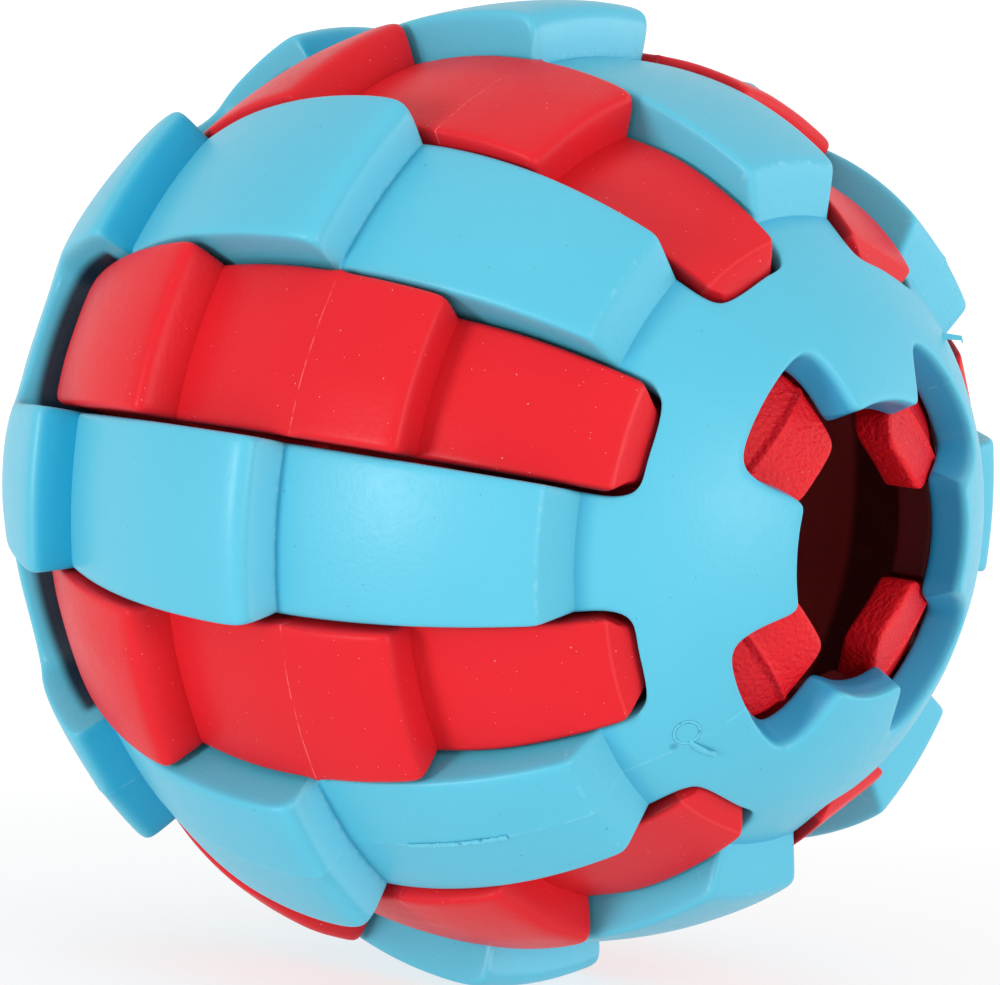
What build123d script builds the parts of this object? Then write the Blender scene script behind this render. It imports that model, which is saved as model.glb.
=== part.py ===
"""Treat dispensing ball: a hollow rubber ball inside a caged rubber shell.

The polar axis lies along +X, with the treat mouth at +X. The origin is the ball's centre and +Z is up.
The shell's eight stepped ribs stand 45 degrees apart, starting at +Y. The inner ball's eight ribs show
through the slots between them. Colatitudes are measured at the centre from the mouth's pole.
"""
import os
from math import atan2, cos, degrees, hypot, radians, sin, sqrt

from build123d import *

# Outer shell: lengths in millimetres, angles in degrees
crest_radius = 40.0          # tops of the shell's blocks, from the centre
rear_pole_inset = 1.4        # how far the rear pole lies inside the crests
rear_step = 3.4              # height of the step in front of the rear block
middle_step = 4.2            # height of the step in front of the middle block
shell_wall = 3.3             # wall left under the deepest step
nose_offset = 10.4           # the nose is part of a smaller sphere, centred this far forward
nose_rise = 0.6              # how far that sphere's pole stands beyond the crests
nose_wall = 3.2
rear_crest_angle = 116.7
rear_low_angle = 116.0
middle_crest_angle = 79.4
middle_low_angle = 78.5
front_crest_angle = 46.0
cap_foot_angle = 41.3        # where the front bevel meets the smooth nose

# Slots between the shell's ribs
rib_count = 8
slot_half_angle = 11.6
slot_front_angle = 34.9      # where the slots' front walls meet the nose's surface
slot_front_slope = 66.0      # of those walls, from the polar axis
slot_rear_angle = 133.5
slot_corner_radius = 1.8

# Mouth of the shell: four teeth and four notches
tooth_count = 4
mouth_radius = 10.8          # tooth tips, from the axis
notch_radius = 16.3          # notch roots, from the axis
notch_half_angle = 24.5
notch_corner_radius = 2.6
tooth_corner_radius = 1.2

# Inner ball
layer_gap = 0.3              # between the shell and the inner ball
ball_wall = 3.0
ball_rib_inset = 1.6         # how far the inner ball's crests lie inside the shell's
ball_step = 3.7
ball_front_inset = 2.3       # front end of its ribs, inside the shell's crests
ball_rear_inset = 4.6        # rear end of its ribs, inside the shell's crests
ball_rib_half_angle = 10.85
ball_rear_angle = 131.0
ball_rear_crest_angle = 98.5
ball_rear_low_angle = 97.8
ball_front_crest_angle = 62.6
ball_front_low_angle = 61.7
ball_front_angle = 38.0
ball_rib_corner_radius = 1.3
seam_height = 8.1            # bonding seam of the two halves, forward of the centre

# Mouth of the inner ball: a round rim under the teeth, hinged fingers in the notches
finger_root_inset = 2.1      # the fingers' hinge lines, inside the notch roots
finger_tip_inset = 3.1       # the fingers' tips, inside the tooth tips
rim_inset = 2.2              # edge of the inner ball's wall, inside the hinge lines
finger_root_half_width = 4.5
finger_tip_half_width = 3.3
finger_corner_radius = 1.2
knuckle_gap = 0.3            # round a finger's knuckle
side_gap = 0.5               # between a finger's root and the wall beside it

overrun = 2.0                # how far cutters reach past what they cut

# Sizes that follow from those above
nose_radius = crest_radius + nose_rise - nose_offset
shell_inner_radius = crest_radius - middle_step - shell_wall
shell_nose_inner_radius = nose_radius - nose_wall
ball_radius = shell_inner_radius - layer_gap
ball_nose_radius = shell_nose_inner_radius - layer_gap
chamber_radius = ball_radius - ball_wall
chamber_nose_radius = ball_nose_radius - ball_wall
ball_crest_radius = crest_radius - ball_rib_inset
finger_root_radius = notch_radius - finger_root_inset
finger_tip_radius = mouth_radius - finger_tip_inset
rim_radius = finger_root_radius - rim_inset
rib_pitch = 360 / rib_count
tooth_pitch = 360 / tooth_count


def polar(radius, colatitude):
    """A meridian point: distance along the axis, then distance from it."""
    return (radius * cos(radians(colatitude)), radius * sin(radians(colatitude)))


def nose_polar(radius, colatitude):
    """The meridian point where a nose sphere meets a colatitude."""
    along = nose_offset * cos(radians(colatitude))
    across = nose_offset * sin(radians(colatitude))
    return polar(along + sqrt(radius**2 - across**2), colatitude)


def nose_at(radius, distance):
    """The meridian point of a nose sphere at a distance from the axis."""
    return (nose_offset + sqrt(radius**2 - distance**2), distance)


def nose_beside(radius, along):
    """The meridian point of a nose sphere at a place along the axis."""
    return (along, sqrt(radius**2 - (along - nose_offset)**2))


def on_slope(point, slope, radius):
    """The meridian point at a distance from the centre on a sloping line through a point."""
    run, rise = polar(1, slope)
    nearest = point[0] * run + point[1] * rise
    length = sqrt(nearest**2 - point[0]**2 - point[1]**2 + radius**2) - nearest
    return (point[0] + length * run, point[1] + length * rise)


def nose_junction(radius, nose):
    """The meridian point where a sphere about the centre meets a nose sphere."""
    along = (radius**2 - nose**2 + nose_offset**2) / (2 * nose_offset)
    return (along, sqrt(radius**2 - along**2))


def meridian(azimuth):
    """The plane through the polar axis at an azimuth: its X runs along the axis, its Y away from it."""
    return Plane.XY.rotated((azimuth, 0, 0))


def across_axis(azimuth):
    """The plane across the polar axis whose X points at an azimuth."""
    return Plane.YZ.rotated((azimuth, 0, 0))


def from_axis(edge):
    """How far an edge's middle lies from the polar axis."""
    return edge.center().cross(Axis.X.direction).length


def round_line(start, end):
    """The meridian arc between two points that is centred on the polar axis, so it turns into a sphere."""
    centre = (start[0]**2 + start[1]**2 - end[0]**2 - end[1]**2) / (2 * (start[0] - end[0]))
    radius = hypot(start[0] - centre, start[1])
    first = degrees(atan2(start[1], start[0] - centre))
    last = degrees(atan2(end[1], end[0] - centre))
    CenterArc((centre, 0), radius, first, last - first)


def inside_line(radius, nose, mouth):
    """The meridian line of a sphere with a nose, from its rear pole to its mouth."""
    junction = nose_junction(radius, nose)
    round_line((-radius, 0), junction)
    round_line(junction, nose_at(nose, mouth))


# Cutter for one slot between two ribs of the shell
slot_inner = ball_radius
slot_outer = crest_radius + overrun
slot_edge = nose_polar(nose_radius, slot_front_angle)
slot_front_outer = on_slope(slot_edge, slot_front_slope, slot_outer)
slot_front_inner = on_slope(slot_edge, slot_front_slope, slot_inner)
with BuildPart() as slot:
    with BuildSketch(meridian(rib_pitch / 2 - slot_half_angle)):
        with BuildLine():
            round_line(slot_front_outer, polar(slot_outer, slot_rear_angle))
            Line(polar(slot_outer, slot_rear_angle), polar(slot_inner, slot_rear_angle))
            round_line(polar(slot_inner, slot_rear_angle), slot_front_inner)
            Line(slot_front_inner, slot_front_outer)
        make_face()
    revolve(axis=Axis.X, revolution_arc=2 * slot_half_angle)
    fillet(slot.edges().filter_by(GeomType.LINE), radius=slot_corner_radius)

# Meridian points of the outer shell
tooth_tip = nose_at(nose_radius, mouth_radius)
tooth_tip_inner = nose_at(shell_nose_inner_radius, mouth_radius)
notch_bottom = nose_at(shell_nose_inner_radius, notch_radius)
cap_foot = nose_polar(nose_radius, cap_foot_angle)
front_crest = polar(crest_radius, front_crest_angle)
middle_low = polar(crest_radius - middle_step, middle_low_angle)
middle_crest = polar(crest_radius, middle_crest_angle)
rear_low = polar(crest_radius - rear_step, rear_low_angle)
rear_crest = polar(crest_radius, rear_crest_angle)
rear_pole = (rear_pole_inset - crest_radius, 0)

# Cutter for one notch between two teeth of the mouth, its root corners rounded
cut_top = tooth_tip[0] + overrun
notch_inner = mouth_radius - overrun
with BuildPart() as notch:
    with BuildSketch(meridian(tooth_pitch / 2 - notch_half_angle)):
        with Locations((cut_top, notch_inner)):
            Rectangle(cut_top - notch_bottom[0] + overrun, notch_radius - notch_inner,
                      align=(Align.MAX, Align.MIN))
    revolve(axis=Axis.X, revolution_arc=2 * notch_half_angle)
    fillet(notch.edges().filter_by(Axis.X).group_by(from_axis)[-1], radius=notch_corner_radius)

# Outer shell, whole
with BuildPart() as shell:
    with BuildSketch(Plane.XY):
        with BuildLine():
            round_line(tooth_tip, cap_foot)
            Line(cap_foot, front_crest)
            round_line(front_crest, middle_low)
            Line(middle_low, middle_crest)
            round_line(middle_crest, rear_low)
            Line(rear_low, rear_crest)
            round_line(rear_crest, rear_pole)
            Line(rear_pole, (-shell_inner_radius, 0))
            inside_line(shell_inner_radius, shell_nose_inner_radius, mouth_radius)
            Line(tooth_tip_inner, tooth_tip)
        make_face()
    revolve(axis=Axis.X)
    for step in range(rib_count):
        add(slot.part.rotate(Axis.X, step * rib_pitch), mode=Mode.SUBTRACT)
    for step in range(tooth_count):
        add(notch.part.rotate(Axis.X, step * tooth_pitch), mode=Mode.SUBTRACT)
    tip_edges = shell.edges().filter_by(Axis.X).group_by(from_axis)[0]
    fillet(tip_edges, radius=tooth_corner_radius)

# The shell's two halves, bonded along the seam through two opposite ribs
shell_seam = meridian(tooth_pitch / 2)
with BuildPart() as upper_half:
    add(shell.part)
    split(bisect_by=shell_seam, keep=Keep.TOP)
upper_half.part.label = "outer_shell_upper_half"

with BuildPart() as lower_half:
    add(shell.part)
    split(bisect_by=shell_seam, keep=Keep.BOTTOM)
lower_half.part.label = "outer_shell_lower_half"

# One rib of the inner ball, rooted in the middle of its wall
rib_front = polar(crest_radius - ball_front_inset, ball_front_angle)
rib_front_low = polar(ball_crest_radius - ball_step, ball_front_low_angle)
rib_front_crest = polar(ball_crest_radius, ball_front_crest_angle)
rib_rear_low = polar(ball_crest_radius - ball_step, ball_rear_low_angle)
rib_rear_crest = polar(ball_crest_radius, ball_rear_crest_angle)
rib_rear = polar(crest_radius - ball_rear_inset, ball_rear_angle)
root_radius = ball_radius - ball_wall / 2
root_nose_radius = ball_nose_radius - ball_wall / 2
root_front = nose_beside(root_nose_radius, rib_front[0])
root_junction = nose_junction(root_radius, root_nose_radius)
root_rear = polar(root_radius, ball_rear_angle)
with BuildPart() as ball_rib:
    with BuildSketch(meridian(rib_pitch / 2 - ball_rib_half_angle)):
        with BuildLine():
            round_line(rib_front, rib_front_low)
            Line(rib_front_low, rib_front_crest)
            round_line(rib_front_crest, rib_rear_low)
            Line(rib_rear_low, rib_rear_crest)
            round_line(rib_rear_crest, rib_rear)
            Line(rib_rear, root_rear)
            round_line(root_rear, root_junction)
            round_line(root_junction, root_front)
            Line(root_front, rib_front)
        make_face()
    revolve(axis=Axis.X, revolution_arc=2 * ball_rib_half_angle)
    rib_ends = ball_rib.edges().filter_by(GeomType.LINE).sort_by(Axis.X)
    fillet(rib_ends[:2] + rib_ends[-2:], radius=ball_rib_corner_radius)

# The fingers share the middle of the inner ball's wall; each turns on a knuckle at its root
knuckle = nose_at(root_nose_radius, finger_root_radius)

# Cutter for one finger's socket: a round seat for the knuckle, open toward the axis. Outside the knuckle it
# ends square to the wall, and inside it is cut straight down, which leaves room for the finger to turn.
socket_outer = ball_nose_radius + overrun
socket_top = nose_at(socket_outer, finger_root_radius * socket_outer / root_nose_radius)
socket_bottom = knuckle[0] - ball_wall - overrun
with BuildPart() as socket:
    with BuildSketch(meridian(tooth_pitch / 2)):
        with BuildLine():
            Polyline(socket_top, (cut_top, finger_tip_radius), (socket_bottom, finger_tip_radius),
                     (socket_bottom, finger_root_radius), knuckle, close=True)
        make_face()
        with Locations(knuckle):
            Circle(ball_wall / 2 + knuckle_gap)
    extrude(amount=finger_root_half_width + side_gap, both=True)

# Inner ball, whole
with BuildPart() as ball:
    with BuildSketch(Plane.XY):
        with BuildLine():
            inside_line(ball_radius, ball_nose_radius, rim_radius)
            Line(nose_at(ball_nose_radius, rim_radius), nose_at(chamber_nose_radius, rim_radius))
            inside_line(chamber_radius, chamber_nose_radius, rim_radius)
            Line((-chamber_radius, 0), (-ball_radius, 0))
        make_face()
    revolve(axis=Axis.X)
    for step in range(rib_count):
        add(ball_rib.part.rotate(Axis.X, step * rib_pitch))
    for step in range(tooth_count):
        add(socket.part.rotate(Axis.X, step * tooth_pitch), mode=Mode.SUBTRACT)

# The inner ball's two halves, bonded at the seam round its ribs
ball_seam = Plane.YZ.offset(seam_height)
with BuildPart() as front_half:
    add(ball.part)
    split(bisect_by=ball_seam, keep=Keep.TOP)
front_half.part.label = "inner_ball_front_half"

with BuildPart() as rear_half:
    add(ball.part)
    split(bisect_by=ball_seam, keep=Keep.BOTTOM)
rear_half.part.label = "inner_ball_rear_half"


def finger(azimuth):
    """One treat finger: a strip of the nose's wall with a round knuckle at its root and a tapered tip."""
    with BuildPart() as strip:
        with BuildSketch(meridian(azimuth)):
            with BuildLine():
                round_line(knuckle, nose_at(root_nose_radius, finger_tip_radius - ball_wall))
            trace(line_width=ball_wall)
            with Locations(knuckle):
                Circle(ball_wall / 2)
        extrude(amount=finger_root_half_width, both=True)
        with BuildSketch(across_axis(azimuth)) as outline:
            with BuildLine():
                Polyline((finger_root_radius + ball_wall, -finger_root_half_width),
                         (finger_root_radius, -finger_root_half_width),
                         (finger_tip_radius, -finger_tip_half_width),
                         (finger_tip_radius, finger_tip_half_width),
                         (finger_root_radius, finger_root_half_width),
                         (finger_root_radius + ball_wall, finger_root_half_width), close=True)
            make_face()
            tip_corners = outline.vertices().sort_by(Axis.X)[:2]
            fillet(tip_corners, radius=finger_corner_radius)
        extrude(amount=crest_radius, mode=Mode.INTERSECT)
    return strip.part


os.makedirs("parts", exist_ok=True)
for piece in (upper_half, lower_half, front_half, rear_half):
    export_step(piece.part, f"parts/{piece.part.label}.step")
for step in range(tooth_count):
    treat_finger = finger((step + 1 / 2) * tooth_pitch)
    treat_finger.label = f"treat_finger_{step + 1}"
    export_step(treat_finger, f"parts/{treat_finger.label}.step")
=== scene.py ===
"""Treat dispensing ball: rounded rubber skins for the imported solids, with studio, floor and camera.

Lengths are in millimetres until a point is placed. A meridian point is (along the axis, away from
it), the axis is +X out of the mouth, and azimuth is measured round it from +Y towards +Z.
"""
from math import atan2, copysign, cos, degrees, hypot, pi, radians, sin, sqrt

import bmesh
import bpy
from mathutils import Matrix, Vector, noise


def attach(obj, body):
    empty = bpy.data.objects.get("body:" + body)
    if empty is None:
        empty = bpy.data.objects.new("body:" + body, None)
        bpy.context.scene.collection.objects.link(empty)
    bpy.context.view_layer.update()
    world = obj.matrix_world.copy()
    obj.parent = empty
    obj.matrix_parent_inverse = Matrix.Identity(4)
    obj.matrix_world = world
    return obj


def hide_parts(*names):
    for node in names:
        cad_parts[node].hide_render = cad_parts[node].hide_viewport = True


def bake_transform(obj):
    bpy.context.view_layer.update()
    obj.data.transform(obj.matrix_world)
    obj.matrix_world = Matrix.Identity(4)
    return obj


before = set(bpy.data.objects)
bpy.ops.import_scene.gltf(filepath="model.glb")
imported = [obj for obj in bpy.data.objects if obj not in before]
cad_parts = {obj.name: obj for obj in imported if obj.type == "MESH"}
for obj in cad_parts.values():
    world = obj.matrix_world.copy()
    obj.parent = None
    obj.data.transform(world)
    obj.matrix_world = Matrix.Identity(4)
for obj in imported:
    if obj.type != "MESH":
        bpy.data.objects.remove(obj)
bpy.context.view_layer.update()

MM = 0.001

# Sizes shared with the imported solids
CREST = 40.0
NOSE_OFFSET = 10.4
SHELL_NOSE, SHELL_NOSE_INNER, SHELL_INNER = 30.2, 27.0, 32.5
BALL_NOSE, BALL_NOSE_INNER, BALL, CHAMBER = 26.7, 23.7, 32.2, 29.2
BALL_CREST, BALL_LOW = 38.4, 34.7
RIB_PITCH, SLOT_AZIMUTH = 45, 22.5
SLOT_FRONT, SLOT_REAR, SLOT_HALF = 34.9, 133.5, 11.6
TOOTH_PITCH, NOTCH_AZIMUTH = 90, 45
MOUTH, NOTCH, NOTCH_HALF = 10.8, 16.3, 24.5
RIB_FRONT, RIB_REAR, RIB_HALF = 38.0, 131.0, 10.85
RIM = 12.0
FINGER_TIP, FINGER_TIP_HALF = 7.7, 3.3
RED_SEAM = 8.1
SHELL_SEAM_AZIMUTH = 45

# Sizes of the skins alone
REAR_POLE = 39.2
FINGER_WINDOW, FINGER_WINDOW_HALF = 17.2, 26
ROUNDING_LEVELS = 2
HIDDEN_EDGE = 0.7
WOBBLE, WOBBLE_SCALE = 0.1, 70

# Azimuths this near to the edge of a feature count as on it
ON_EDGE = 0.1


# Meridian geometry

def polar(radius, colatitude):
    return (radius * cos(radians(colatitude)), radius * sin(radians(colatitude)))


def nose_at(radius, distance):
    """The point of a nose sphere at a distance from the axis."""
    return (NOSE_OFFSET + sqrt(radius**2 - distance**2), distance)


def nose_polar(radius, colatitude):
    """The point of a nose sphere at a colatitude."""
    along, across = polar(NOSE_OFFSET, colatitude)
    return polar(along + sqrt(radius**2 - across**2), colatitude)


def colatitude_of(point):
    return degrees(atan2(point[1], point[0]))


def between(start, end, share):
    return tuple(a + (b - a) * share for a, b in zip(start, end))


def toward(start, end, distance):
    return between(start, end, distance / hypot(end[0] - start[0], end[1] - start[1]))


class BlockTop:
    """The round top of a block: a sphere centred on the axis, through the block's two ends."""

    def __init__(self, start, end):
        squares = start[0]**2 + start[1]**2 - end[0]**2 - end[1]**2
        self.centre = squares / (2 * (start[0] - end[0]))
        self.radius = hypot(start[0] - self.centre, start[1])

    def at(self, colatitude):
        along, across = polar(self.centre, colatitude)
        return polar(along + sqrt(self.radius**2 - across**2), colatitude)

    def at_height(self, along):
        return (along, sqrt(self.radius**2 - (along - self.centre)**2))


def inset(line, depth):
    """A meridian line moved inwards, square to itself."""
    runs = [(Vector(b) - Vector(a)).normalized() for a, b in zip(line, line[1:])]
    inwards = [Vector((-run.y, run.x)) for run in runs]
    moved = []
    for point, before, after in zip(line, inwards[:1] + inwards, inwards + inwards[-1:]):
        shift = (before + after) * depth / (1 + before.dot(after))
        moved.append((point[0] + shift.x, point[1] + shift.y))
    return moved


def soften(before, corner, after, share):
    """A corner of a line pulled towards the middle of its two neighbours."""
    return between(corner, between(before, after, 0.5), share)


def turned(point, azimuth):
    """A meridian point turned to an azimuth, in metres."""
    along, away = point
    return Vector((along, away * cos(radians(azimuth)), away * sin(radians(azimuth)))) * MM


def offset_from(azimuth, first, pitch):
    """The signed azimuth from the nearest of a ring of features."""
    return (azimuth - first + pitch / 2) % pitch - pitch / 2


def from_nearest(azimuth, first, pitch):
    return abs(offset_from(azimuth, first, pitch))


# Rubber skins

def round_corner(corners, lines, kind, row, azimuth, spread=ON_EDGE):
    """A grid point, moved in where its row holds the plan corner of a feature.

    corners gives for such a row the next row within the feature, the azimuth of one feature, their
    pitch and half angle, and how far the corner moves both ways. Points within spread degrees of
    it follow in part.
    """
    point = lines[kind][row]
    if row in corners:
        within, first, pitch, half, size = corners[row]
        offset = offset_from(azimuth, first, pitch)
        share = (abs(offset) - half) / spread + 1
        if share > 0 and abs(offset) < half + ON_EDGE:
            point = toward(point, lines[kind][within], size * share**2)
            azimuth -= copysign(degrees(size * share / point[1]), offset)
    return point, azimuth


def as_piece(name, mesh, smooth=True):
    """A new object from a finished mesh, which is freed."""
    bmesh.ops.recalc_face_normals(mesh, faces=mesh.faces)
    data = bpy.data.meshes.new(name)
    mesh.to_mesh(data)
    mesh.free()
    data.polygons.foreach_set("use_smooth", [smooth] * len(data.polygons))
    piece = bpy.data.objects.new(name, data)
    bpy.context.collection.objects.link(piece)
    return piece


def rubber_skin(name, row_count, column_count, wraps, level, walls, spot,
                creased=lambda row, column: False):
    """A closed mesh on a grid of cells, rounded by subdivision.

    level(row, column) names the surface that a cell's outer face lies on, or None where the cell
    is open. walls gives, for an upper and a lower surface, the rings of points down the wall
    between them. spot(kind, row, column) places a point; points on the axis are shared by all
    columns. creased(row, column) tells the points of a seam or a crisp foot, whose edges stay
    sharp.
    """
    mesh = bmesh.new()
    points = {}
    crease = mesh.edges.layers.float.new("crease_edge")

    def point(kind, row, column):
        place = spot(kind, row, column)
        on_axis = hypot(place.y, place.z) < 1e-9
        key = (kind, row, "axis" if on_axis else column % column_count if wraps else column)
        if key not in points:
            points[key] = mesh.verts.new(place)
        return points[key]

    def face(*corners):
        ring = list(dict.fromkeys(corners))
        if len(ring) > 2 and not mesh.faces.get(ring):
            mesh.faces.new(ring)

    def cell(row, column):
        if wraps:
            column %= column_count
        elif not 0 <= column < column_count - 1:
            return None
        return level(row, column) if 0 <= row < row_count - 1 else None

    bottom = walls[None][-1]
    for row in range(row_count - 1):
        for column in range(column_count if wraps else column_count - 1):
            top = cell(row, column)
            if top is None:
                continue
            corners = ((row, column), (row + 1, column), (row + 1, column + 1), (row, column + 1))
            face(*(point(top, *c) for c in corners))
            face(*(point(bottom, *c) for c in reversed(corners)))
            neighbours = ((row, column - 1), (row + 1, column),
                          (row, column + 1), (row - 1, column))
            for side, neighbour in enumerate(neighbours):
                other = cell(*neighbour)
                if other == top or (top, other) not in walls and other is not None:
                    continue
                rings = walls[(top, other)] if other is not None else (top,) + walls[None]
                a, b = corners[side], corners[(side + 1) % 4]
                for upper, lower in zip(rings, rings[1:]):
                    face(point(upper, *a), point(upper, *b), point(lower, *b), point(lower, *a))
    sharp = {vertex for (_, row, column), vertex in points.items() if creased(row, column)}
    for edge in mesh.edges:
        if edge.verts[0] in sharp and edge.verts[1] in sharp:
            edge[crease] = 1.0
            edge.smooth = False
    piece = as_piece(name, mesh)
    rounding = piece.modifiers.new("rounding", "SUBSURF")
    rounding.levels = rounding.render_levels = ROUNDING_LEVELS
    return piece


def moulded_wobble(place):
    """The slight unevenness of a moulded rubber surface, along the radius."""
    return place + place.normalized() * noise.noise(place * WOBBLE_SCALE) * WOBBLE * MM


STEP_FOOT, STEP_SOFTNESS = 0.14, 0.34


def step(low, crest, top, after, share):
    """The rows of a step: crisp at its foot, round at its crest."""
    before = between(low, crest, share)
    foot, following = between(low, crest, STEP_FOOT), top.at(after)
    return [low, foot, before, soften(before, crest, following, STEP_SOFTNESS), following]


# Outer shell: one line of rows from the tooth tips to the rear pole

SHELL_FOOT, SHELL_CREST_FRONT = nose_polar(SHELL_NOSE, 41.3), polar(CREST, 46)
SHELL_LOW_MIDDLE, SHELL_CREST_MIDDLE = polar(35.8, 78.5), polar(CREST, 79.4)
SHELL_LOW_REAR, SHELL_CREST_REAR = polar(36.6, 116), polar(CREST, 116.7)
SHELL_TOP_FRONT = BlockTop(SHELL_CREST_FRONT, SHELL_LOW_MIDDLE)
SHELL_TOP_MIDDLE = BlockTop(SHELL_CREST_MIDDLE, SHELL_LOW_REAR)
SHELL_TOP_REAR = BlockTop(SHELL_CREST_REAR, (-REAR_POLE, 0))

# How far from the axis the mouth's rows reach, and the colatitude where the inner nose spheres end
MOUTH_ZONE, NOSE_END = 22.4, 48
BEHIND_NOTCH_SPACING = 0.535
MOUTH_DRAFT = 1.1
DRAFT_SHARE = {"outer": 0, "outer_edge": 0.25, "inner_edge": 0.75, "inner": 1}

# The mouth is taller than wide: its stretch, where that ends and fades, and where inner faces stay
STRETCH_ABOVE, STRETCH_BELOW = 0.055, 0.09
STRETCH_END, STRETCH_FADE = 21, 3.5
NOTCH_STAY, NOTCH_STAY_FADE = 12, 3

SHELL_EDGE, MOUTH_EDGE = 0.9, 0.3
TOOTH_CORNER, NOTCH_CORNER, SLOT_FRONT_CORNER, SLOT_REAR_CORNER = 0.2, 0.6, 0.5, 0.55

# How far the shell dips behind a slot, row by row, and over which half angle
SLOT_DIPS, SLOT_DIP_HALF = (0.95, 0.75, 0.4), 14


def shell_line():
    line = [nose_at(SHELL_NOSE, d) for d in (MOUTH, 11.6, 13.9, NOTCH, 17.4, 19.2)]
    line += [nose_polar(SHELL_NOSE, c) for c in (33.4, SLOT_FRONT, 37.6, 40.5)]
    bevel = [between(SHELL_FOOT, SHELL_CREST_FRONT, share) for share in (0.2, 0.7)]
    line += [SHELL_FOOT, *bevel, SHELL_CREST_FRONT]
    line += [SHELL_TOP_FRONT.at(c) for c in (47.6, 52, 58, 64, 70, 75, 77.6)]
    line += step(SHELL_LOW_MIDDLE, SHELL_CREST_MIDDLE, SHELL_TOP_MIDDLE, 82.2, 0.52)
    line += [SHELL_TOP_MIDDLE.at(c) for c in (86.5, 92, 98, 104, 110, 115.1)]
    line += step(SHELL_LOW_REAR, SHELL_CREST_REAR, SHELL_TOP_REAR, 118.6, 0.66)
    line += [SHELL_TOP_REAR.at(c) for c in (124, 130.4, SLOT_REAR, 134.9)]
    line += [SHELL_TOP_REAR.at(c) for c in (140, 147, 155, 163, 170, 175.5)]
    return line + [(-REAR_POLE, 0)]


def shell_inside(point):
    """The point of the shell's inner face under a point of its outer line."""
    along, away = point
    if along > 0 and away < MOUTH_ZONE:
        behind_notch = max(0, away - NOTCH) * BEHIND_NOTCH_SPACING
        return nose_at(SHELL_NOSE_INNER, min(away, NOTCH) - MOUTH_DRAFT + behind_notch)
    if colatitude_of(point) < NOSE_END:
        return toward((NOSE_OFFSET, 0), point, SHELL_NOSE_INNER)
    return toward((0, 0), point, SHELL_INNER)


def shell_columns(start):
    """Azimuths of one half, from seam to seam: ribs every 45 degrees, mouth teeth every 90."""
    quarter = [0, 5, 9.3, 10.9, 14.6, 17.8, 20.5, 27.6, 34.1, 35.7, 40]
    to_tooth = [0] + [RIB_PITCH - offset for offset in reversed(quarter[1:])]
    columns = []
    for rib, offsets in enumerate((to_tooth, quarter, to_tooth, quarter)):
        columns += [start + rib * RIB_PITCH + offset for offset in offsets]
    return columns + [start + 180]


def taller_mouth(place, kind):
    """A point of the shell's mouth, moved up or down along its nose sphere.

    At the ends of the notches the inner face stays, so that their walls slope more.
    """
    along, across, up = place / MM
    away = hypot(across, up)
    if along < 0 or away > STRETCH_END:
        return place
    depth = hypot(along - NOSE_OFFSET, away)
    follow = 1 - DRAFT_SHARE[kind] * max(0, min(1, (away - NOTCH_STAY) / NOTCH_STAY_FADE))
    stretch = STRETCH_ABOVE if up > 0 else STRETCH_BELOW
    up *= 1 + stretch * min(1, (STRETCH_END - away) / STRETCH_FADE) * follow
    return Vector((NOSE_OFFSET + sqrt(depth**2 - across**2 - up**2), across, up)) * MM


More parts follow.
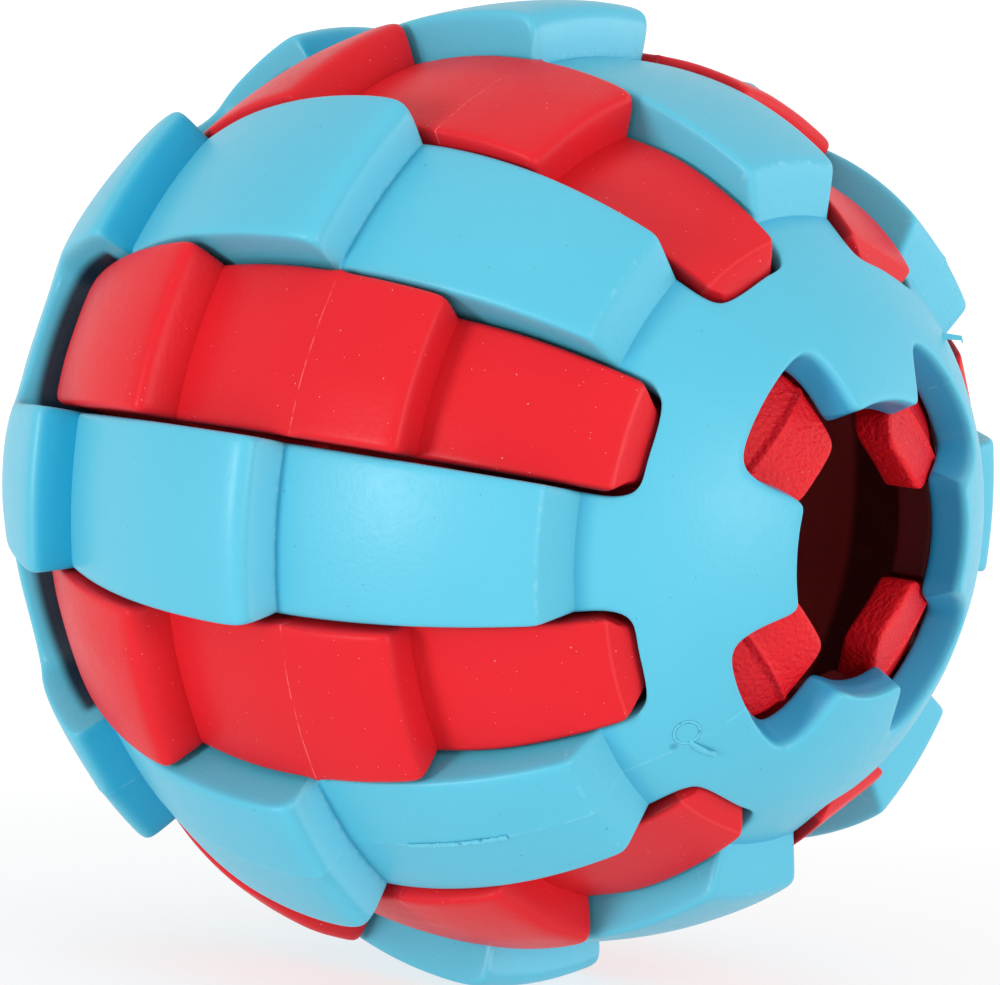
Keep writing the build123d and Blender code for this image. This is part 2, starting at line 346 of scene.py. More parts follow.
def outer_shell_half(name, start):
    """The half of the shell from the seam at an azimuth to the seam 180 degrees on."""
    outer = shell_line()
    inner = [shell_inside(p) for p in outer[:-1]] + [(-SHELL_INNER, 0)]
    edge = inset(outer, SHELL_EDGE)
    for i, point in enumerate(outer):
        if point[0] > 0 and point[1] < MOUTH_ZONE:
            edge[i] = toward(point, inner[i], MOUTH_EDGE)
    edge[-1] = (-REAR_POLE + SHELL_EDGE, 0)
    lines = {"outer": outer, "outer_edge": edge, "inner": inner,
             "inner_edge": [toward(i, o, HIDDEN_EDGE) for i, o in zip(inner, outer)]}
    columns = shell_columns(start)
    last = len(columns) - 1
    notch_row = outer.index(nose_at(SHELL_NOSE, NOTCH))
    slot_front = outer.index(nose_polar(SHELL_NOSE, SLOT_FRONT))
    slot_rear = outer.index(SHELL_TOP_REAR.at(SLOT_REAR))
    feet = [outer.index(foot) for foot in (SHELL_FOOT, SHELL_LOW_MIDDLE, SHELL_LOW_REAR)]
    teeth = (0, TOOTH_PITCH, NOTCH_AZIMUTH - NOTCH_HALF)
    notches = (NOTCH_AZIMUTH, TOOTH_PITCH, NOTCH_HALF)
    slots = (SLOT_AZIMUTH, RIB_PITCH, SLOT_HALF)
    corners = {0: (1, *teeth, TOOTH_CORNER),
               notch_row: (notch_row - 1, *notches, NOTCH_CORNER),
               slot_front: (slot_front + 1, *slots, SLOT_FRONT_CORNER),
               slot_rear: (slot_rear - 1, *slots, SLOT_REAR_CORNER)}
    dips = {slot_rear + i: dip for i, dip in enumerate(SLOT_DIPS)}

    def level(row, column):
        middle = between(outer[row], outer[row + 1], 0.5)
        azimuth = (columns[column] + columns[column + 1]) / 2
        from_slot = from_nearest(azimuth, SLOT_AZIMUTH, RIB_PITCH)
        from_notch = from_nearest(azimuth, NOTCH_AZIMUTH, TOOTH_PITCH)
        in_slot = SLOT_FRONT < colatitude_of(middle) < SLOT_REAR and from_slot < SLOT_HALF
        in_notch = middle[0] > 0 and middle[1] < NOTCH and from_notch < NOTCH_HALF
        return None if in_slot or in_notch else "outer"

    def spot(kind, row, column):
        point, azimuth = round_corner(corners, lines, kind, row, columns[column])
        from_notch = offset_from(columns[column], NOTCH_AZIMUTH, TOOTH_PITCH)
        if row <= notch_row and abs(abs(from_notch) - NOTCH_HALF) < ON_EDGE:
            draft = MOUTH_DRAFT * DRAFT_SHARE[kind]
            azimuth -= copysign(degrees(draft / point[1]), from_notch)
        if kind in ("outer", "outer_edge") and row in dips:
            from_slot = from_nearest(columns[column], SLOT_AZIMUTH, RIB_PITCH)
            share = max(0, 1 - (from_slot / SLOT_DIP_HALF) ** 4)
            point = toward(point, (0, 0), dips[row] * share) if share else point
        place = taller_mouth(turned(point, azimuth), kind)
        return moulded_wobble(place) if kind == "outer" else place

    return rubber_skin(name, len(outer), len(columns), False, level,
                       {None: ("outer_edge", "inner_edge", "inner")}, spot,
                       lambda row, column: row in feet or column in (0, last, "axis"))


# Inner ball: rib tops and the round base under the shell share their rows

# The colatitude where the ball's nose ends, and how its inner face follows it near the mouth
BALL_NOSE_END, BALL_MOUTH_ZONE, BALL_MOUTH_SHARE = 49.8, 20, 0.93

RIB_TIP = polar(38.1, RIB_FRONT)
RIB_NOSE, RIB_NOSE_EDGE, RIB_NOSE_BASE = (30.75, 21.5), (30.6, 20.5), (29.9, 18.25)
RIB_LOW_FRONT, RIB_CREST_FRONT = polar(BALL_LOW, 61.7), polar(BALL_CREST, 62.6)
RIB_LOW_REAR, RIB_CREST_REAR = polar(BALL_LOW, 97.8), polar(BALL_CREST, 98.5)
RIB_TOP_FRONT = BlockTop(RIB_TIP, RIB_LOW_FRONT)
RIB_TOP_MIDDLE = BlockTop(RIB_CREST_FRONT, RIB_LOW_REAR)
RIB_TOP_REAR = BlockTop(RIB_CREST_REAR, polar(36.3, RIB_REAR))
RIB_EDGE, RIB_CORNERS, RIB_CORNER_SPREAD = 1.2, (1.0, 0.4), 3.5

# The ribs' front blocks are flat across, which fades out before a colatitude
RIB_FLAT_END, RIB_FLAT_FADE = 61, 8
SEAM_SINK = 0.12


def ball_base(colatitude):
    on_nose_sphere = colatitude < BALL_NOSE_END
    return nose_polar(BALL_NOSE, colatitude) if on_nose_sphere else polar(BALL, colatitude)


def ball_inside(point):
    """The point of the ball's inner face under a point of its base."""
    if point[0] > 0 and point[1] < BALL_MOUTH_ZONE:
        return nose_at(BALL_NOSE_INNER, point[1] * BALL_MOUTH_SHARE)
    if colatitude_of(point) < NOSE_END:
        return toward((NOSE_OFFSET, 0), point, BALL_NOSE_INNER)
    return toward((0, 0), point, CHAMBER)


def ball_columns():
    quarter = [0, 6, 10.2, 11.65, 13.1, 17.3, 19, 20.7, 26.5, 31.9, 33.35, 34.8, 39.5]
    mirrored = [RIB_PITCH] + [TOOTH_PITCH - offset for offset in reversed(quarter[1:])]
    return [tooth * TOOTH_PITCH + offset for tooth in range(4) for offset in quarter + mirrored]


def inner_ball_half(name, rows, seam, tip):
    """One half of the inner ball from its rows of (rib top, base, inner face).

    A row without a rib has None for its top. seam is the row of the flat seam and tip the row
    where the ribs end.
    """
    rib, base, inner = zip(*rows)
    columns = ball_columns()
    base_edges = [toward(b, i, HIDDEN_EDGE) for b, i in zip(base, inner)]
    rib_edges = list(base_edges)
    topped = [row for row, top in enumerate(rib) if top]
    for row, point in zip(topped, inset([rib[row] for row in topped], RIB_EDGE)):
        rib_edges[row] = (RED_SEAM, rib[row][1] - RIB_EDGE) if row == seam else point
        if rib[row] == RIB_NOSE:
            rib_edges[row] = RIB_NOSE_EDGE
    lines = {"rib": [top or under for top, under in zip(rib, base)], "rib_edge": rib_edges,
             "base": base, "base_edge": base_edges, "inner": inner,
             "inner_edge": [toward(i, b, HIDDEN_EDGE) for b, i in zip(base, inner)]}
    back = -1 if seam < tip else 1
    corners = {tip + back * i: (tip + back * (i + 1), SLOT_AZIMUTH, RIB_PITCH, RIB_HALF, size)
               for i, size in enumerate(RIB_CORNERS)}

    def level(row, column):
        azimuth = (columns[column] + (columns + [360])[column + 1]) / 2
        middle = between(base[row], base[row + 1], 0.5)
        in_front = middle[0] > 0 and middle[1] < FINGER_WINDOW
        if in_front and from_nearest(azimuth, NOTCH_AZIMUTH, TOOTH_PITCH) < FINGER_WINDOW_HALF:
            return None
        in_rib = from_nearest(azimuth, SLOT_AZIMUTH, RIB_PITCH) < RIB_HALF
        return "rib" if rib[row] and rib[row + 1] and in_rib else "base"

    def spot(kind, row, column):
        (along, away), azimuth = round_corner(corners, lines, kind, row,
                                              columns[column % len(columns)], RIB_CORNER_SPREAD)
        if rib[row] and kind in ("rib", "rib_edge"):
            before_end = RIB_FLAT_END - colatitude_of((along, away))
            flat = max(0, min(1, before_end / RIB_FLAT_FADE))
            from_middle = min(RIB_HALF, from_nearest(azimuth, SLOT_AZIMUTH, RIB_PITCH))
            away /= 1 - flat * (1 - cos(radians(from_middle)))
        place = turned((along, away), azimuth)
        return moulded_wobble(place) if kind == "rib" else place

    walls = {None: ("base_edge", "inner_edge", "inner"),
             ("rib", "base"): ("rib", "rib_edge", "base")}
    feet = (RIB_LOW_FRONT, RIB_LOW_REAR)
    return rubber_skin(name, len(base), len(columns), True, level, walls, spot,
                       lambda row, column: row == seam or rib[row] in feet)


def seam_row():
    """The row of the inner ball's flat seam."""
    top = RIB_TOP_MIDDLE.at_height(RED_SEAM)[1] - SEAM_SINK
    base, inner = sqrt(BALL**2 - RED_SEAM**2), sqrt(CHAMBER**2 - RED_SEAM**2)
    return (RED_SEAM, top), (RED_SEAM, base), (RED_SEAM, inner)


def ball_row(top, base):
    return top, base, ball_inside(base)


def inner_ball_front():
    open_rows = [nose_at(BALL_NOSE, d) for d in (RIM, 12.7, 14.4, 16.2, FINGER_WINDOW, 17.9)]
    tops = [between(RIB_NOSE, RIB_TIP, 0.45), between(RIB_NOSE, RIB_TIP, 0.93)]
    tops += [RIB_TOP_FRONT.at(c) for c in (38.4, 42, 47, 53, 58, 61)]
    tops += step(RIB_LOW_FRONT, RIB_CREST_FRONT, RIB_TOP_MIDDLE, 64.6, 0.6)
    tops += [RIB_TOP_MIDDLE.at(c) for c in (69, 74)]
    rows = [ball_row(None, base) for base in open_rows]
    rows.append(ball_row(RIB_NOSE, RIB_NOSE_BASE))
    rows += [ball_row(top, ball_base(colatitude_of(top))) for top in tops]
    rows.append(seam_row())
    return inner_ball_half("inner_ball_front", rows, seam=len(rows) - 1, tip=len(open_rows))


def inner_ball_rear():
    tops = [RIB_TOP_MIDDLE.at(c) for c in (82, 87, 92, 96.7)]
    tops += step(RIB_LOW_REAR, RIB_CREST_REAR, RIB_TOP_REAR, 100.4, 0.6)
    tops += [RIB_TOP_REAR.at(c) for c in (106, 113, 120, 126, 129.2, RIB_REAR)]
    rows = [seam_row()]
    rows += [ball_row(top, ball_base(colatitude_of(top))) for top in tops]
    rows += [ball_row(None, ball_base(c)) for c in (132.6, 138, 146, 155, 164, 172)]
    rows.append((None, (-BALL, 0), (-CHAMBER, 0)))
    return inner_ball_half("inner_ball_rear", rows, seam=0, tip=len(tops))


# Treat fingers: tongues of the inner ball's wall that reach from under the shell to the mouth

# Each row's distance from the axis, and the rise of its top over the ball's nose
FINGER_ROWS = ((18.4, 0), (17.6, 0), (16.8, 0), (15.6, 0), (14.6, 0), (13.5, 0), (12.8, 0),
               (12.6, 0.02), (12.45, 0.5), (12.3, 0.48), (12.1, 0.28), (11.1, 0.25), (9.9, 0.25),
               (8.6, 0.25), (FINGER_TIP, 0.25))
FINGER_WIDEST, FINGER_WIDENING = 13.0, 1.7
FINGER_NECK, FINGER_NARROWING = 13.5, 0.5
FINGER_CORNER, FINGER_CORNER_SHARE = 0.5, 0.88
FINGER_EDGE = 0.8


def finger_half_width(reach):
    widening = min(1, (reach - FINGER_TIP) / (FINGER_WIDEST - FINGER_TIP))
    narrowing = max(0, min(1, reach - FINGER_NECK))
    return FINGER_TIP_HALF + FINGER_WIDENING * widening - FINGER_NARROWING * narrowing


def treat_finger(name, azimuth):
    shares = [-1, -0.8, -0.4, 0, 0.4, 0.8, 1]
    outwards = Vector((0, cos(radians(azimuth)), sin(radians(azimuth))))
    across = Vector((0, -outwards.z, outwards.y))
    spheres = {"top": BALL_NOSE, "top_edge": BALL_NOSE - FINGER_EDGE,
               "bottom_edge": BALL_NOSE_INNER + FINGER_EDGE, "bottom": BALL_NOSE_INNER}

    def spot(kind, row, column):
        reach, rise = FINGER_ROWS[row]
        side = shares[column] * finger_half_width(reach)
        if row == len(FINGER_ROWS) - 1 and abs(shares[column]) == 1:
            reach, side = reach + FINGER_CORNER, side * FINGER_CORNER_SHARE
        radius = spheres[kind] + (rise if kind == "top" else 0)
        along = NOSE_OFFSET + sqrt(radius**2 - reach**2 - side**2)
        return (Vector((along, 0, 0)) + outwards * reach + across * side) * MM

    return rubber_skin(name, len(FINGER_ROWS), len(shares), False, lambda row, column: "top",
                       {None: ("top_edge", "bottom_edge", "bottom")}, spot)


# Moulding marks on the shell: gate ring, sliver, a trimmed stretch of seam and a tag of flash

def strip(name, spots, side, half_widths, thickness):
    """A thin rubber strip along a line of spots, its width along side, in millimetres."""
    mesh = bmesh.new()
    side = Vector(side).normalized()
    rings = []
    for i, (spot, half) in enumerate(zip(spots, half_widths)):
        run = Vector(spots[min(i + 1, len(spots) - 1)]) - Vector(spots[max(i - 1, 0)])
        up = run.cross(side).normalized() * thickness / 2
        corners = (side * half + up, side * half - up, side * -half - up, side * -half + up)
        rings.append([mesh.verts.new((Vector(spot) + corner) * MM) for corner in corners])
    for first, second in zip(rings, rings[1:]):
        for k in range(4):
            mesh.faces.new((first[k], first[(k + 1) % 4], second[(k + 1) % 4], second[k]))
    mesh.faces.new(rings[0])
    mesh.faces.new(reversed(rings[-1]))
    return as_piece(name, mesh, smooth=False)


def on_nose(colatitude, azimuth, rise):
    """A spot above the shell's nose, in millimetres."""
    return turned(nose_polar(SHELL_NOSE + rise, colatitude), azimuth) / MM


def gate_ring():
    """A low ring left by the moulding gate, as spokes of (distance from its centre, rise)."""
    spokes = 32
    section = ((0.9, -0.02), (1.0, 0.005), (1.05, 0.005), (1.15, -0.02))
    centre = on_nose(32.6, 222.2, 0)
    out = (centre - Vector((NOSE_OFFSET, 0, 0))).normalized()
    first = out.cross(Vector((1, 0, 0))).normalized()
    second = out.cross(first)
    mesh = bmesh.new()
    rings = []
    for k in range(spokes):
        angle = 2 * pi * k / spokes
        spoke = first * cos(angle) + second * sin(angle)
        rings.append([mesh.verts.new((centre + spoke * across + out * rise) * MM)
                      for across, rise in section])
    for k, ring in enumerate(rings):
        after = rings[(k + 1) % spokes]
        for j in range(4):
            mesh.faces.new((ring[j], ring[(j + 1) % 4], after[(j + 1) % 4], after[j]))
    return as_piece("gate_ring", mesh)


def trimmed_seam():
    """The ragged line where flash was cut off along the seam of the lower near rib."""
    start, pitch, count = 69.5, 0.22, 60
    spots, halves = [], []
    for k in range(count):
        rise = 0.05 * noise.noise(Vector((k * 0.83, 3.1, 0.4)))
        drift = 0.12 * noise.noise(Vector((k * 0.61, 0, 7)))
        along, away = SHELL_TOP_FRONT.at(start - k * pitch)
        spots.append(turned((along, away + rise), SHELL_SEAM_AZIMUTH + 180 + drift) / MM)
        halves.append(0.2 + 0.12 * noise.noise(Vector((k * 0.97, 9.2, 2.0))))
    return strip("trimmed_seam", spots, (0, -1, 1), halves, 0.06)


def gate_sliver():
    spots = [on_nose(32.9, 225, -0.05), on_nose(32.6, 226.4, 0.16), on_nose(32.1, 228.4, 0.2),
             on_nose(31.3, 231.2, 0.22)]
    return strip("gate_sliver", spots, (0.5, -0.6, 0.6), (0.2, 0.26, 0.24, 0.16), 0.22)


def flash_tag():
    root = on_nose(33.3, SHELL_SEAM_AZIMUTH, -0.1)
    spots = [root + Vector((0.765, 0.62, -0.06)) * reach for reach in (0, 0.6, 1.2, 1.5)]
    spots.append(root + Vector((1.22, 1.0, -0.38)))
    return strip("flash_tag", spots, (-0.11, 0.07, 0.99), (0.26, 0.23, 0.2, 0.18, 0.1), 0.16)


marks = [gate_ring(), trimmed_seam(), gate_sliver(), flash_tag()]
upper_shell = outer_shell_half("outer_shell_upper", SHELL_SEAM_AZIMUTH)
lower_shell = outer_shell_half("outer_shell_lower", SHELL_SEAM_AZIMUTH + 180)
ball_front = inner_ball_front()
ball_rear = inner_ball_rear()
finger_azimuths = [NOTCH_AZIMUTH + TOOTH_PITCH * k for k in range(4)]
fingers = [treat_finger(f"finger_{k + 1}_tongue", azimuth)
           for k, azimuth in enumerate(finger_azimuths)]

for piece, node in ((upper_shell, "outer_shell_upper_half"),
                    (lower_shell, "outer_shell_lower_half"),
                    (ball_front, "inner_ball_front_half"),
                    (ball_rear, "inner_ball_rear_half")):
    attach(piece, "ball")
    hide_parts(node)
    "outer_rubber" if "shell" in node else "inner_rubber"
for piece in marks:
    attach(piece, "ball")

# The fingers would bend at a depth in their wall, between two distances from the axis; the ends of
# that line are worked out but not used
BEND_DEPTH, BEND_START, BEND_END = 1.4, 16.2, 12.4
for k, finger in enumerate(fingers):
    start = turned(nose_at(BALL_NOSE - BEND_DEPTH, BEND_START), finger_azimuths[k])
    end = turned(nose_at(BALL_NOSE - BEND_DEPTH, BEND_END), finger_azimuths[k])
    f"finger_{k + 1}"
    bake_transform(finger)
    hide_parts(f"treat_finger_{k + 1}")


# Finishes

class Signal:
    """A socket of a finish; arithmetic on it adds Math nodes."""

    def __init__(self, finish, socket):
        self.finish, self.socket = finish, socket

    def math(self, operation, *values):
        return self.finish.add("ShaderNodeMath", {"operation": operation},
                               dict(enumerate((self,) + values)))

    def __add__(self, other): return self.math("ADD", other)
    def __radd__(self, other): return self.math("ADD", other)
    def __sub__(self, other): return self.math("SUBTRACT", other)
    def __rsub__(self, other): return (self * -1) + other
    def __mul__(self, other): return self.math("MULTIPLY", other)
    def __rmul__(self, other): return self.math("MULTIPLY", other)
    def __abs__(self): return self.math("ABSOLUTE")

    def fade(self, low, high):
        """0 up to low, 1 from high, and smooth between them."""
        return self.finish.add("ShaderNodeMapRange", {"interpolation_type": "SMOOTHSTEP"},
                               {"Value": self, "From Min": low, "From Max": high})


class NodeSheet:
    """The nodes of a material or world."""

    def __init__(self, tree):
        self.nodes, self.links = tree.nodes, tree.links

    def add(self, kind, settings, inputs, output=0):
        node = self.nodes.new(kind)
        for setting, value in settings.items():
            setattr(node, setting, value)
        for socket, value in inputs.items():
            self.feed(node.inputs[socket], value)
        return Signal(self, node.outputs[output])

    def feed(self, socket, value):
        if isinstance(value, Signal):
            self.links.new(value.socket, socket)
        else:
            socket.default_value = value

    def seen(self):
        """1 for rays from the camera or off glossy and clear surfaces."""
        camera, glossy, clear = (self.add("ShaderNodeLightPath", {}, {}, f"Is {ray} Ray")
                                 for ray in ("Camera", "Glossy", "Transmission"))
        return camera.math("MAXIMUM", glossy).math("MAXIMUM", clear)


class Finish(NodeSheet):
    """A material on the object's own coordinates, with its distances in millimetres."""

    def __init__(self, name):
        self.material = bpy.data.materials.new(name)
        self.material.use_nodes = True
        super().__init__(self.material.node_tree)
        self.shader = self.nodes["Principled BSDF"]
        self.place = self.add("ShaderNodeTexCoord", {}, {}, "Object")
        self.along, self.across, self.up = (
            self.add("ShaderNodeSeparateXYZ", {}, {0: self.place}, axis) * (1 / MM)
            for axis in "XYZ")
        self.away = (self.across * self.across + self.up * self.up).math("SQRT")
        self.centre_distance = (self.along * self.along + self.away * self.away).math("SQRT")
        nose = self.along - NOSE_OFFSET
        self.nose_distance = (nose * nose + self.away * self.away).math("SQRT")
        self.colatitude = self.away.math("ARCTAN2", self.along).math("DEGREES")

    def distance(self, spot):
        return self.add("ShaderNodeVectorMath", {"operation": "DISTANCE"},
                        {0: self.place, 1: spot * MM}, "Value") * (1 / MM)

    def from_rib(self):
        """The azimuth from the middle of the nearest rib, in degrees."""
        azimuth = self.up.math("ARCTAN2", self.across).math("DEGREES")
        return SLOT_AZIMUTH - azimuth.math("PINGPONG", SLOT_AZIMUTH)

    def mix(self, share, first, second):
        return self.add("ShaderNodeMix", {"data_type": "RGBA"}, {0: share, 6: first, 7: second}, 2)

    def tint(self, share, paint):
        self.tone = self.mix(share, self.tone, paint)

    def band(self, start, full, fading, end):
        """1 between two colatitudes, faded at both ends."""
        return self.colatitude.fade(start, full) * (1 - self.colatitude.fade(fading, end))

    def noise(self, scale):
        return self.add("ShaderNodeTexNoise", {}, {"Vector": self.place, "Scale": scale,
                                                   "Detail": 3.0, "Roughness": 0.5}, "Fac")


def colour(red, green, blue):
    """A colour given as it looks on a screen, 0 to 255."""
    linear = [((v / 255 + 0.055) / 1.055) ** 2.4 for v in (red, green, blue)]
    return (*linear, 1.0)


BLUE_SPECK, RED_SPECK = colour(24, 104, 128), colour(250, 190, 185)
WORN_EDGE = colour(190, 232, 242)
SLOT_SHADE = colour(18, 34, 50)

# Noise scales, per metre
CLOUD_SCALE, SHEEN_SCALE, GRAIN_SCALE = 60, 900, 2600
CLOUD_SHARE, SPECK_SHARE = 0.4, 0.55
ROUGHNESS, ROUGHNESS_SPREAD = 0.32, 0.14


def rubber(name, base, deep, speck, specks, gloss, grain):
    """A matt rubber with cloudy tone, fine specks of another colour and a moulded grain.

    specks gives the scale of each kind of speck and its size, and grain its depth in millimetres.
    """
    finish = Finish(name)
    cloud = finish.noise(CLOUD_SCALE).fade(0.35, 0.65)
    finish.tone = finish.mix(cloud * CLOUD_SHARE, base, deep)
    for scale, size in specks:
        reach = finish.add("ShaderNodeTexVoronoi", {}, {"Vector": finish.place, "Scale": scale},
                           "Distance")
        finish.tint((1 - reach.fade(size / 2, size)) * SPECK_SHARE, speck)
    finish.feed(finish.shader.inputs["Roughness"],
                finish.noise(SHEEN_SCALE) * ROUGHNESS_SPREAD + ROUGHNESS)
    bump = finish.add("ShaderNodeBump", {}, {"Distance": grain * MM,
                                             "Height": finish.noise(GRAIN_SCALE)}, "Normal")
    finish.feed(finish.shader.inputs["Normal"], bump)
    finish.shader.inputs["Specular IOR Level"].default_value = gloss
    return finish


def shell_rubber():
    """The shell's blue, with painted shade on its rear riser, step feet, slots and mouth, a painted
    highlight on the middle riser, and paler along worn edges.
    """
    blue = rubber("blue_rubber", colour(86, 185, 211), colour(80, 180, 207), BLUE_SPECK,
                  specks=((630, 0.05), (300, 0.034)), gloss=0.33, grain=0.024)
    in_front = blue.along.fade(20, 22)
    # Painted shade: the rear step's riser is painted a deeper blue, where the block in front shades
    # it
    rear_riser_painted_shade = blue.band(115.7, 116.0, 116.5, 117.1)
    blue.tint(rear_riser_painted_shade, colour(24, 166, 206))
    # Painted shade: a darker line along the foot of the middle step
    middle_foot_painted_shade = blue.band(77.6, 78.1, 78.3, 78.4)
    blue.tint(middle_foot_painted_shade * 0.5, colour(40, 160, 205))
    worn_foot = blue.band(78.3, 78.4, 78.55, 78.65) * blue.noise(1500).fade(0.45, 0.6)
    blue.tint(worn_foot * 0.15, WORN_EDGE)
    # Painted shade: a darker band at the foot of the front bevel
    bevel_foot_painted_shade = blue.band(38.8, 41.2, 41.25, 41.35)
    blue.tint(bevel_foot_painted_shade * 0.5, colour(36, 164, 206))
    worn_crest = blue.band(45.7, 45.9, 46.2, 46.4) * blue.noise(1200).fade(0.5, 0.7)
    blue.tint(worn_crest * 0.15, WORN_EDGE)
    # Painted shade: the deep parts of the slots' rear and front walls are painted dark
    slot_rear_wall_painted_shade = (1 - blue.centre_distance.fade(37.1, 38.1)) * blue.colatitude.fade(119, 121)
    blue.tint(slot_rear_wall_painted_shade, SLOT_SHADE)
    slot_front_wall_painted_shade = (1 - blue.nose_distance.fade(28.3, 29.4)) * blue.away.fade(18, 19) * in_front
    blue.tint(slot_front_wall_painted_shade, SLOT_SHADE)
    # Painted shade: the walls inside the mouth are painted a deeper blue
    mouth_wall_painted_shade = (1 - blue.nose_distance.fade(29.2, 30.0)) * in_front
    mouth_wall_painted_shade = mouth_wall_painted_shade * (1 - blue.away.fade(17.5, 18.5))
    blue.tint(mouth_wall_painted_shade * 0.65, colour(14, 128, 182))
    # Painted shade: the teeth's tip walls are painted a deeper blue still
    tooth_tip_wall_painted_shade = mouth_wall_painted_shade * (1 - blue.away.fade(10.9, 11.2))
    blue.tint(tooth_tip_wall_painted_shade * 0.75, colour(14, 108, 150))
    # Painted highlight: the middle step's riser is painted paler, standing in for a lamp's reflection
    middle_riser_painted_highlight = blue.band(78.45, 78.6, 79.3, 79.6)
    blue.tint(middle_riser_painted_highlight * 0.5, colour(124, 206, 228))
    # A round spot by the gate is painted darker, in the speck colour
    gate_dark_spot = 1 - blue.distance(on_nose(34.7, 224, 0)).fade(0.1, 0.5)
    blue.tint(gate_dark_spot * 0.45, BLUE_SPECK)
    seam_distance = abs(blue.up - blue.across) * sqrt(0.5)
    seam_line = (1 - seam_distance.fade(0.03, 0.07)) * blue.noise(700).fade(0.4, 0.6)
    blue.tint(seam_line * 0.2, colour(180, 230, 242))
    return blue


def ball_rubber():
    """The inner ball's red, with a pale seam, a painted highlight along the tip fold, painted shade
    on the rib sides, nose inside and rim, and painted haze in the chamber.
    """
    red = rubber("red_rubber", colour(217, 34, 43), colour(210, 29, 38), RED_SPECK,
                 specks=((1220, 0.06), (500, 0.036)), gloss=0.13, grain=0.024)
    seam_line = 1 - abs(red.along - RED_SEAM).fade(0.03, 0.08)
    red.tint(seam_line * red.noise(800).fade(0.4, 0.6) * 0.4, colour(250, 130, 128))
    # Painted highlight: a pale line along the fold at the ribs' tips
    tip_fold_painted_highlight = red.band(37.7, 37.95, 38.05, 38.3)
    red.tint(tip_fold_painted_highlight * 0.1, colour(250, 120, 118))
    # Painted shade: the ribs' sides on their front blocks are painted dark, where the shell's slot
    # edges shade them
    rib_side_painted_shade = red.from_rib().fade(9.7, 10.9) * (1 - red.colatitude.fade(56, 62))
    red.tint(rib_side_painted_shade * 0.7, colour(84, 6, 10))
    # Painted haze: the chamber's inside is painted a paler, greyer red, standing in for haze of light
    # in the dark hollow
    chamber_painted_haze = 1 - red.centre_distance.fade(29.5, 30.5)
    red.tint(chamber_painted_haze, colour(225, 125, 125))
    # Painted shade: the inside of the ball's nose is painted dark
    nose_inside_painted_shade = 1 - red.nose_distance.fade(24.0, 24.6)
    red.tint(nose_inside_painted_shade, colour(100, 40, 42))
    # Painted shade: the rim's inner wall between the fingers is painted dark
    rim = (1 - red.away.fade(12.6, 13.2)) * red.along.fade(24, 25)
    red.tint(rim, colour(100, 30, 32))
    return red


blue, red = shell_rubber(), ball_rubber()
grained_red = rubber("grained_red_rubber", colour(226, 22, 34), colour(212, 16, 28), RED_SPECK,
                     specks=((1220, 0.06),), gloss=0.2, grain=0.24)
worn_blue = rubber("worn_blue_rubber", colour(100, 196, 220), colour(90, 189, 215), BLUE_SPECK,
                   specks=((900, 0.2),), gloss=0.3, grain=0.06)
for finish, pieces in ((blue, (upper_shell, lower_shell)), (red, (ball_front, ball_rear)),
                       (grained_red, fingers), (worn_blue, marks)):
    finish.feed(finish.shader.inputs["Base Color"], finish.tone)
    for piece in pieces:
        piece.data.materials.append(finish.material)


# Studio: camera fitted to the photograph, soft lamps round it and a pale floor

VIEW = Vector((0.633, -0.764, 0.1257)).normalized()
RIGHT = Vector((0.765, 0.642, 0.0487))
RIGHT = (RIGHT - VIEW * RIGHT.dot(VIEW)).normalized()
UP = VIEW.cross(RIGHT)
CAMERA_DISTANCE = 0.6615
camera = bpy.data.objects.new("camera", bpy.data.cameras.new("camera"))
bpy.context.collection.objects.link(camera)
camera_turn = Matrix((RIGHT, UP, VIEW)).transposed().to_4x4()
camera.matrix_world = Matrix.Translation(VIEW * CAMERA_DISTANCE) @ camera_turn
camera.data.sensor_fit = "HORIZONTAL"
camera.data.sensor_width = 36.0
camera.data.lens = 299.0
camera.data.shift_x = 0.0004
camera.data.shift_y = -0.0045
camera.data.clip_start = 0.05
bpy.context.scene.camera = camera


def softbox(name, right, up, back, size, power):
    """A square soft lamp placed in the camera's directions, in metres, and turned to the ball."""
    lamp = bpy.data.lights.new(name, "AREA")
    lamp.size, lamp.energy = size, power
    place = RIGHT * right + UP * up + VIEW * back
    box = bpy.data.objects.new(name, lamp)
    turn = place.to_track_quat("Z", "Y").to_matrix().to_4x4()
    box.matrix_world = Matrix.Translation(place) @ turn
    bpy.context.collection.objects.link(box)


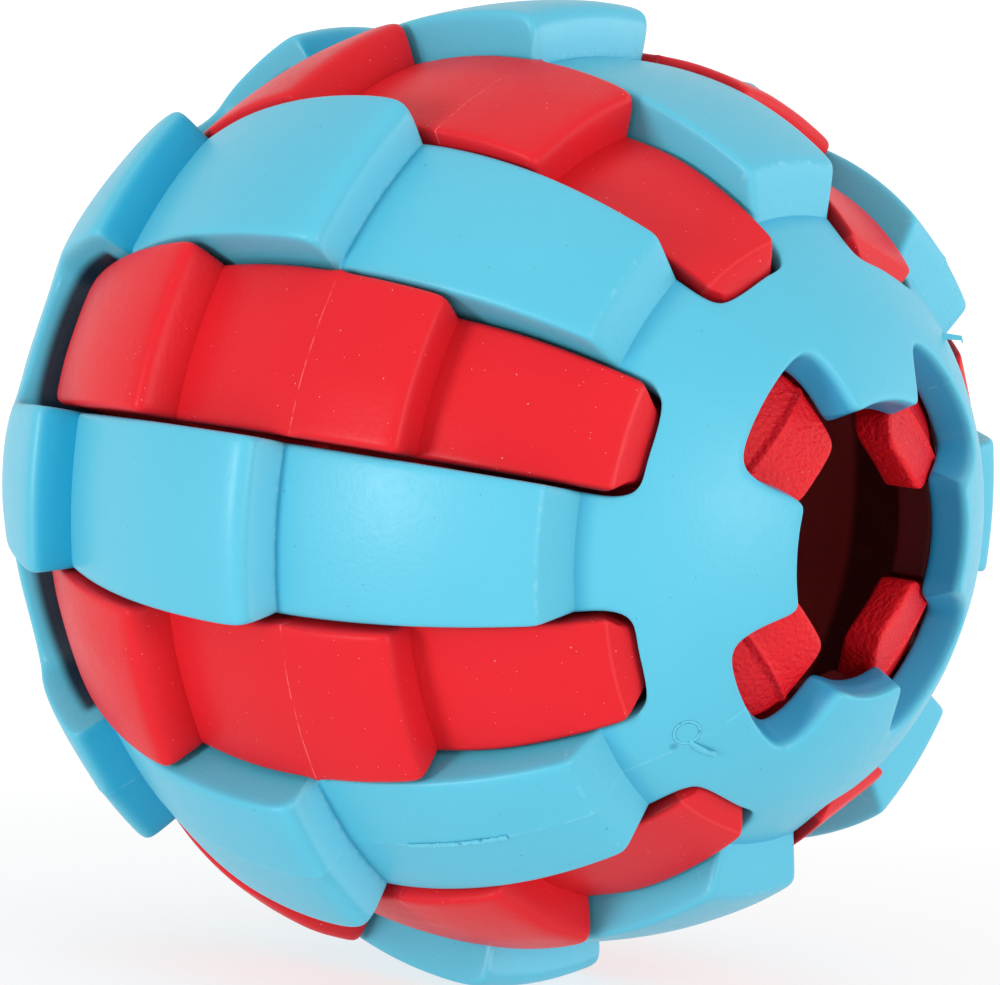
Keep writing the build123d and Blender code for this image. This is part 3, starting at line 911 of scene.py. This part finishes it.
softbox("left_softbox", right=-0.70, up=0.02, back=0.65, size=0.22, power=4.0)
softbox("right_softbox", right=0.60, up=0.02, back=0.72, size=0.35, power=3.2)
softbox("side_softbox", right=0.88, up=0.1, back=-0.18, size=0.5, power=1.7)
softbox("top_softbox", right=0.0, up=0.9, back=0.0, size=0.9, power=1.0)

# The room lights the ball at less than the white that the camera sees
WHITE = (1, 1, 1, 1)
ROOM_LIGHT = 0.64
world = bpy.data.worlds.new("pale_room")
bpy.context.scene.world = world
world.use_nodes = True
sky = NodeSheet(world.node_tree)
room = sky.nodes["Background"]
room.inputs["Color"].default_value = WHITE
sky.feed(room.inputs["Strength"], sky.seen() * (1 - ROOM_LIGHT) + ROOM_LIGHT)

# The floor glows in part, and to white where it is seen far from the ball
FLOOR_LEVEL, FLOOR_SIZE = -39.25, 3.0
FLOOR_GLOW, FLOOR_GLOW_SEEN, FLOOR_GLOW_SHARE = 0.9, 0.22, 0.62
floor_data = bpy.data.meshes.new("floor")
floor_mesh = bmesh.new()
bmesh.ops.create_grid(floor_mesh, x_segments=1, y_segments=1, size=FLOOR_SIZE)
floor_mesh.to_mesh(floor_data)
floor_mesh.free()
floor = bpy.data.objects.new("floor", floor_data)
floor.location.z = FLOOR_LEVEL * MM
bpy.context.collection.objects.link(floor)
pale = Finish("pale_floor")
pale.shader.inputs["Base Color"].default_value = (0.9, 0.9, 0.9, 1)
pale.shader.inputs["Roughness"].default_value = 0.9
seen = pale.seen()
glow = pale.add("ShaderNodeEmission", {}, {"Color": WHITE,
                                           "Strength": seen * FLOOR_GLOW_SEEN + FLOOR_GLOW})
far = pale.centre_distance.fade(60, 160) * seen
glow_share = FLOOR_GLOW_SHARE + far * (1 - FLOOR_GLOW_SHARE)
plain = Signal(pale, pale.shader.outputs[0])
surface = pale.add("ShaderNodeMixShader", {}, {0: glow_share, 1: plain, 2: glow})
pale.feed(pale.nodes["Material Output"].inputs["Surface"], surface)
floor_data.materials.append(pale.material)

bpy.context.scene.view_settings.view_transform = "Standard"
